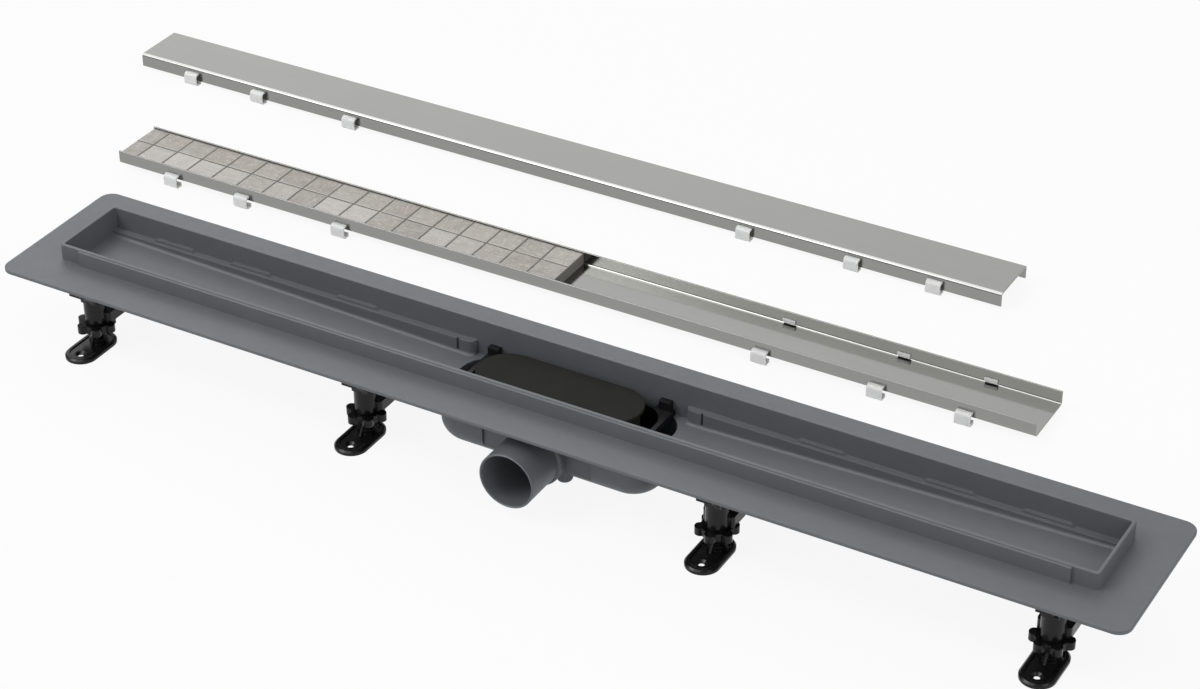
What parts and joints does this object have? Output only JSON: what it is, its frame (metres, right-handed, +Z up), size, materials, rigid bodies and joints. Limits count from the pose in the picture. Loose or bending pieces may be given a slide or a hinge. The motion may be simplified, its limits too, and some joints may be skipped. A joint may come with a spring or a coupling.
{
  "type": "linear shower drain",
  "caption": "Long narrow shower drain: moulded channel on height-adjustable screw feet, trap with side outlet, and a reversible steel grate shown as cover and as tile tray.",
  "frame": {"origin": "on the floor under the middle of the trough", "axes": "+X along the drain, +Y away from the side that the outlet points to, +Z up"},
  "size_m": [1.247, 0.548, 0.0924],
  "materials": {
    "grey_moulding": "satin moulded grey",
    "black_insert": "matt moulded black",
    "seal_rubber": "matt",
    "lid_plastic": "matt moulded dark grey",
    "steel_sheet": "fine satin stainless",
    "clip_plastic": "translucent natural white",
    "black_plastic": "satin moulded black",
    "grout": "matt cement",
    "mosaic_stone": "honed veined stone"
  },
  "bodies": {
    "root": {"trough_body": "grey_moulding", "trap_housing": "grey_moulding", "trap_insert": "black_insert", "outlet_seal": "seal_rubber", "trap_lid": "lid_plastic", "leg_bracket_1": "black_plastic", "leg_bracket_2": "black_plastic", "leg_bracket_3": "black_plastic", "leg_bracket_4": "black_plastic", "cover_grate": "steel_sheet", "tray_grate": "steel_sheet", "tile_bed": "grout", "near_tile_row": "mosaic_stone", "far_tile_row": "mosaic_stone", "cover_clip_1": "clip_plastic", "cover_clip_2": "clip_plastic", "cover_clip_3": "clip_plastic", "cover_clip_4": "clip_plastic", "cover_clip_5": "clip_plastic", "cover_clip_6": "clip_plastic", "cover_clip_7": "clip_plastic", "cover_clip_8": "clip_plastic", "cover_clip_9": "clip_plastic", "cover_clip_10": "clip_plastic", "cover_clip_11": "clip_plastic", "cover_clip_12": "clip_plastic", "tray_clip_1": "clip_plastic", "tray_clip_2": "clip_plastic", "tray_clip_3": "clip_plastic", "tray_clip_4": "clip_plastic", "tray_clip_5": "clip_plastic", "tray_clip_6": "clip_plastic", "tray_clip_7": "clip_plastic", "tray_clip_8": "clip_plastic", "tray_clip_9": "clip_plastic", "tray_clip_10": "clip_plastic", "tray_clip_11": "clip_plastic", "tray_clip_12": "clip_plastic"},
    "nut_1": {"leg_nut_1": "black_plastic"},
    "foot_1": {"leg_foot_1": "black_plastic"},
    "nut_2": {"leg_nut_2": "black_plastic"},
    "foot_2": {"leg_foot_2": "black_plastic"},
    "nut_3": {"leg_nut_3": "black_plastic"},
    "foot_3": {"leg_foot_3": "black_plastic"},
    "nut_4": {"leg_nut_4": "black_plastic"},
    "foot_4": {"leg_foot_4": "black_plastic"},
    "nut_5": {"leg_nut_5": "black_plastic"},
    "foot_5": {"leg_foot_5": "black_plastic"},
    "nut_6": {"leg_nut_6": "black_plastic"},
    "foot_6": {"leg_foot_6": "black_plastic"},
    "nut_7": {"leg_nut_7": "black_plastic"},
    "foot_7": {"leg_foot_7": "black_plastic"},
    "nut_8": {"leg_nut_8": "black_plastic"},
    "foot_8": {"leg_foot_8": "black_plastic"}
  },
  "joints": [
    {"name": "nut_turn_1", "type": "hinge", "parent": "root", "child": "nut_1", "pos_m": [-0.4479, -0.0376, 0.0198], "axis": [0, 0, 1], "range_deg": [-315, 1980]},
    {"name": "foot_travel_1", "type": "slide", "parent": "root", "child": "foot_1", "axis": [0, 0, 1], "range_m": [-0.022, 0.0035]},
    {"name": "nut_turn_2", "type": "hinge", "parent": "root", "child": "nut_2", "pos_m": [-0.1653, -0.0376, 0.0198], "axis": [0, 0, 1], "range_deg": [-315, 1980]},
    {"name": "foot_travel_2", "type": "slide", "parent": "root", "child": "foot_2", "axis": [0, 0, 1], "range_m": [-0.022, 0.0035]},
    {"name": "nut_turn_3", "type": "hinge", "parent": "root", "child": "nut_3", "pos_m": [0.1653, -0.0376, 0.0198], "axis": [0, 0, 1], "range_deg": [-315, 1980]},
    {"name": "foot_travel_3", "type": "slide", "parent": "root", "child": "foot_3", "axis": [0, 0, 1], "range_m": [-0.022, 0.0035]},
    {"name": "nut_turn_4", "type": "hinge", "parent": "root", "child": "nut_4", "pos_m": [0.4479, -0.0376, 0.0198], "axis": [0, 0, 1], "range_deg": [-315, 1980]},
    {"name": "foot_travel_4", "type": "slide", "parent": "root", "child": "foot_4", "axis": [0, 0, 1], "range_m": [-0.022, 0.0035]},
    {"name": "nut_turn_5", "type": "hinge", "parent": "root", "child": "nut_5", "pos_m": [-0.4479, 0.0376, 0.0198], "axis": [0, 0, 1], "range_deg": [-315, 1980]},
    {"name": "foot_travel_5", "type": "slide", "parent": "root", "child": "foot_5", "axis": [0, 0, 1], "range_m": [-0.022, 0.0035]},
    {"name": "nut_turn_6", "type": "hinge", "parent": "root", "child": "nut_6", "pos_m": [-0.1653, 0.0376, 0.0198], "axis": [0, 0, 1], "range_deg": [-315, 1980]},
    {"name": "foot_travel_6", "type": "slide", "parent": "root", "child": "foot_6", "axis": [0, 0, 1], "range_m": [-0.022, 0.0035]},
    {"name": "nut_turn_7", "type": "hinge", "parent": "root", "child": "nut_7", "pos_m": [0.1653, 0.0376, 0.0198], "axis": [0, 0, 1], "range_deg": [-315, 1980]},
    {"name": "foot_travel_7", "type": "slide", "parent": "root", "child": "foot_7", "axis": [0, 0, 1], "range_m": [-0.022, 0.0035]},
    {"name": "nut_turn_8", "type": "hinge", "parent": "root", "child": "nut_8", "pos_m": [0.4479, 0.0376, 0.0198], "axis": [0, 0, 1], "range_deg": [-315, 1980]},
    {"name": "foot_travel_8", "type": "slide", "parent": "root", "child": "foot_8", "axis": [0, 0, 1], "range_m": [-0.022, 0.0035]}
  ],
  "couplings": [
    {"joint": "nut_turn_1", "follows": "foot_travel_1", "rad_per_m": -1570.8},
    {"joint": "nut_turn_2", "follows": "foot_travel_2", "rad_per_m": -1570.8},
    {"joint": "nut_turn_3", "follows": "foot_travel_3", "rad_per_m": -1570.8},
    {"joint": "nut_turn_4", "follows": "foot_travel_4", "rad_per_m": -1570.8},
    {"joint": "nut_turn_5", "follows": "foot_travel_5", "rad_per_m": -1570.8},
    {"joint": "nut_turn_6", "follows": "foot_travel_6", "rad_per_m": -1570.8},
    {"joint": "nut_turn_7", "follows": "foot_travel_7", "rad_per_m": -1570.8},
    {"joint": "nut_turn_8", "follows": "foot_travel_8", "rad_per_m": -1570.8}
  ]
}
